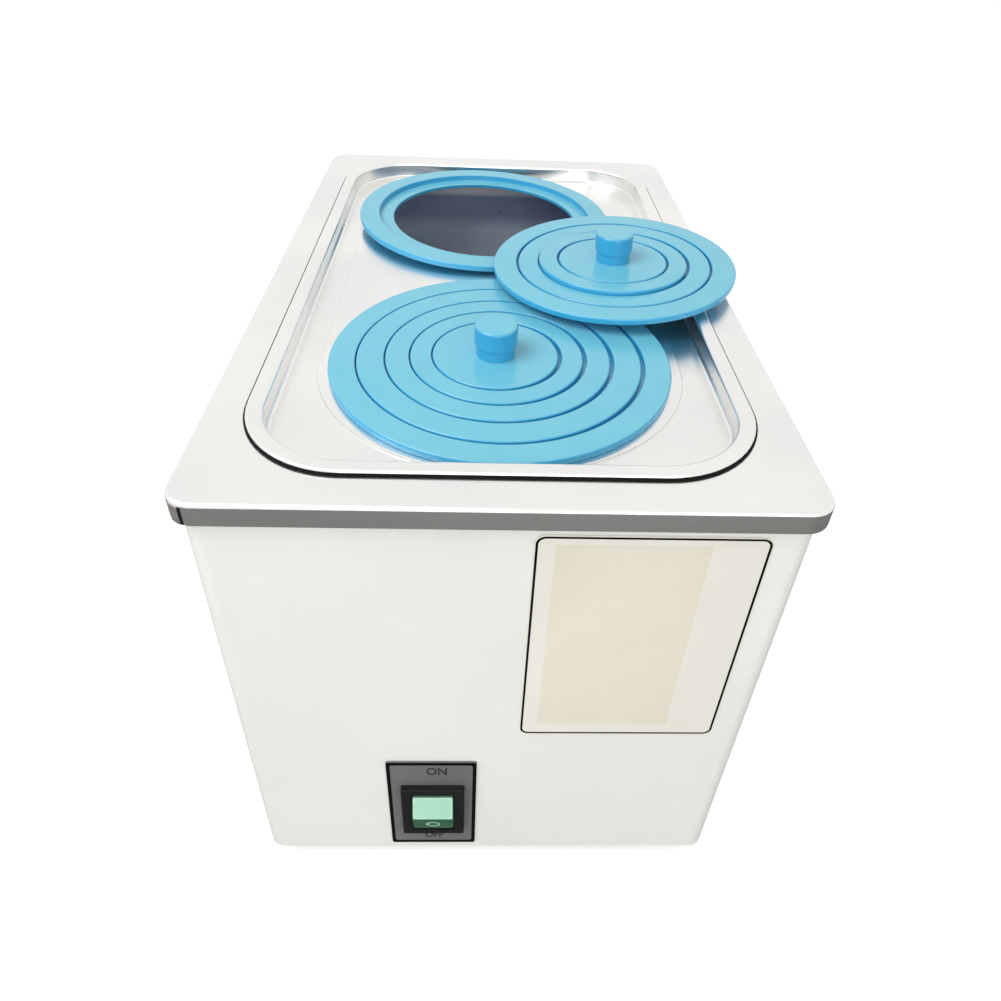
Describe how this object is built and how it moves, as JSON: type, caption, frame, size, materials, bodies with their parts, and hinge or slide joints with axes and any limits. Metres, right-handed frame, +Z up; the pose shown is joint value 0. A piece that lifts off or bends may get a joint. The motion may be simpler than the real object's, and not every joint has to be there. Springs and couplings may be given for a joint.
{
  "type": "laboratory water bath",
  "caption": "Heated bench water bath: white casing, stainless cover and hole plate over a tank, with nested concentric ring covers and knobbed lids, rocker switch and side controller.",
  "frame": {"origin": "on the bench top under the middle of the bath's bounding box", "axes": "+Z up; -Y is the short end with the switch; -X is the long side with the controller"},
  "size_m": [0.2326, 0.3609, 0.2614],
  "materials": {
    "white_paint": "smooth semi-gloss powder coat",
    "stainless_steel": "satin to bright rolled stainless steel",
    "blue_plastic": "satin moulded plastic",
    "black_rubber": "matte",
    "black_plastic": "fine matte moulding",
    "green_lens": "clear tinted rocker",
    "grey_panel": "satin grey panel with a black printed border",
    "white_label": "bare printed outline",
    "smoked_window": "smoked clear plastic",
    "digit_display": "dark display with red segments",
    "circuit_board": "solder mask",
    "brass": "bright",
    "zinc_steel": "zinc plated",
    "seal_rubber": "white silicone",
    "lagging_wool": "mineral wool board",
    "lamp_lens": "red lamp lens",
    "key_plastic": "soft grey",
    "fuse_glass": "glass tube",
    "relay_blue": "matte"
  },
  "bodies": {
    "cabinet": {"outer_casing": "white_paint", "base_plate": "zinc_steel", "feet": "black_rubber", "foot_screws": "zinc_steel", "base_screws": "zinc_steel", "label_plate": "white_label", "top_cover": "stainless_steel", "tank_seal": "seal_rubber", "water_tank": "stainless_steel", "lagging": "lagging_wool", "heater_tube": "stainless_steel", "heater_supports": "stainless_steel", "temperature_probe": "stainless_steel", "tank_washers": "seal_rubber", "tank_nuts": "brass", "thermal_cutout": "black_plastic", "drain_fitting": "brass", "switch_plate": "grey_panel", "switch_housing": "black_plastic", "switch_terminals": "brass", "controller_bezel": "black_plastic", "controller_case": "black_plastic", "display_window": "smoked_window", "digit_display": "digit_display", "controller_board": "circuit_board", "indicator_lamps": "lamp_lens", "power_board": "circuit_board", "power_relay": "relay_blue", "terminal_block": "black_plastic", "inlet_socket": "black_plastic", "inlet_pins": "brass", "inlet_screws": "zinc_steel"},
    "switch_rocker": {"switch_rocker": "green_lens"},
    "drawer": {"fuse_drawer": "black_plastic", "fuses": "fuse_glass"},
    "drain_cap": {"drain_cap": "black_plastic"},
    "shelf": {"perforated_shelf": "stainless_steel"},
    "hole_plate": {"hole_plate": "stainless_steel"},
    "front_ring_1": {"front_ring_1": "blue_plastic"},
    "front_ring_2": {"front_ring_2": "blue_plastic"},
    "front_ring_3": {"front_ring_3": "blue_plastic"},
    "front_ring_4": {"front_ring_4": "blue_plastic"},
    "front_lid": {"front_lid": "blue_plastic", "front_knob": "blue_plastic", "front_knob_screw": "zinc_steel"},
    "back_ring_1": {"back_ring_1": "blue_plastic"},
    "loose_ring_2": {"loose_ring_2": "blue_plastic"},
    "loose_ring_3": {"loose_ring_3": "blue_plastic"},
    "loose_ring_4": {"loose_ring_4": "blue_plastic"},
    "loose_lid": {"loose_lid": "blue_plastic", "loose_knob": "blue_plastic", "loose_knob_screw": "zinc_steel"},
    "controller_key_1": {"controller_key_1": "key_plastic"},
    "controller_key_2": {"controller_key_2": "key_plastic"},
    "controller_key_3": {"controller_key_3": "key_plastic"},
    "controller_key_4": {"controller_key_4": "key_plastic"}
  },
  "joints": [
    {"name": "rocker_rock", "type": "hinge", "parent": "cabinet", "child": "switch_rocker", "pos_m": [-0.0265, -0.1703, 0.0488], "axis": [1, 0, 0], "range_deg": [0, 20]},
    {"name": "fuse_drawer_slide", "type": "slide", "parent": "cabinet", "child": "drawer", "axis": [0, 1, 0], "range_m": [0, 0.022]},
    {"name": "drain_cap_turn", "type": "hinge", "parent": "cabinet", "child": "drain_cap", "pos_m": [0, 0.177, 0.105], "axis": [0, 1, 0], "range_deg": [0, 720]},
    {"name": "shelf_lift", "type": "slide", "parent": "cabinet", "child": "shelf", "axis": [0, 0, 1], "range_m": [0, 0.11]},
    {"name": "hole_plate_lift", "type": "slide", "parent": "cabinet", "child": "hole_plate", "axis": [0, 0, 1], "range_m": [0, 0.16]},
    {"name": "loose_set_lift", "type": "slide", "parent": "hole_plate", "child": "loose_ring_2", "axis": [0, 0, 1], "range_m": [0, 0.15]},
    {"name": "back_ring_lift", "type": "slide", "parent": "hole_plate", "child": "back_ring_1", "axis": [0, 0, 1], "range_m": [0, 0.045]},
    {"name": "front_ring_1_lift", "type": "slide", "parent": "hole_plate", "child": "front_ring_1", "axis": [0, 0, 1], "range_m": [0, 0.03]},
    {"name": "front_ring_2_lift", "type": "slide", "parent": "front_ring_1", "child": "front_ring_2", "axis": [0, 0, 1], "range_m": [0, 0.03]},
    {"name": "front_ring_3_lift", "type": "slide", "parent": "front_ring_2", "child": "front_ring_3", "axis": [0, 0, 1], "range_m": [0, 0.03]},
    {"name": "front_ring_4_lift", "type": "slide", "parent": "front_ring_3", "child": "front_ring_4", "axis": [0, 0, 1], "range_m": [0, 0.03]},
    {"name": "front_lid_lift", "type": "slide", "parent": "front_ring_4", "child": "front_lid", "axis": [0, 0, 1], "range_m": [0, 0.05]},
    {"name": "loose_ring_3_lift", "type": "slide", "parent": "loose_ring_2", "child": "loose_ring_3", "axis": [-0.0445, 0, 0.999], "range_m": [0, 0.04]},
    {"name": "loose_ring_4_lift", "type": "slide", "parent": "loose_ring_3", "child": "loose_ring_4", "axis": [-0.0233, 0.0212, 0.9995], "range_m": [0, 0.04]},
    {"name": "loose_lid_lift", "type": "slide", "parent": "loose_ring_4", "child": "loose_lid", "axis": [-0.0233, 0.0212, 0.9995], "range_m": [0, 0.05]},
    {"name": "key_1_press", "type": "slide", "parent": "cabinet", "child": "controller_key_1", "axis": [1, 0, 0], "range_m": [0, 0.0008], "stiffness_N_per_m": 500},
    {"name": "key_2_press", "type": "slide", "parent": "cabinet", "child": "controller_key_2", "axis": [1, 0, 0], "range_m": [0, 0.0008], "stiffness_N_per_m": 500},
    {"name": "key_3_press", "type": "slide", "parent": "cabinet", "child": "controller_key_3", "axis": [1, 0, 0], "range_m": [0, 0.0008], "stiffness_N_per_m": 500},
    {"name": "key_4_press", "type": "slide", "parent": "cabinet", "child": "controller_key_4", "axis": [1, 0, 0], "range_m": [0, 0.0008], "stiffness_N_per_m": 500}
  ],
  "couplings": [
    {"joint": "back_ring_lift", "follows": "loose_set_lift", "ratio": 0.3},
    {"joint": "front_ring_1_lift", "follows": "loose_set_lift", "ratio": 0.2},
    {"joint": "front_ring_2_lift", "follows": "loose_set_lift", "ratio": 0.2},
    {"joint": "front_ring_3_lift", "follows": "loose_set_lift", "ratio": 0.2},
    {"joint": "front_ring_4_lift", "follows": "loose_set_lift", "ratio": 0.2}
  ]
}
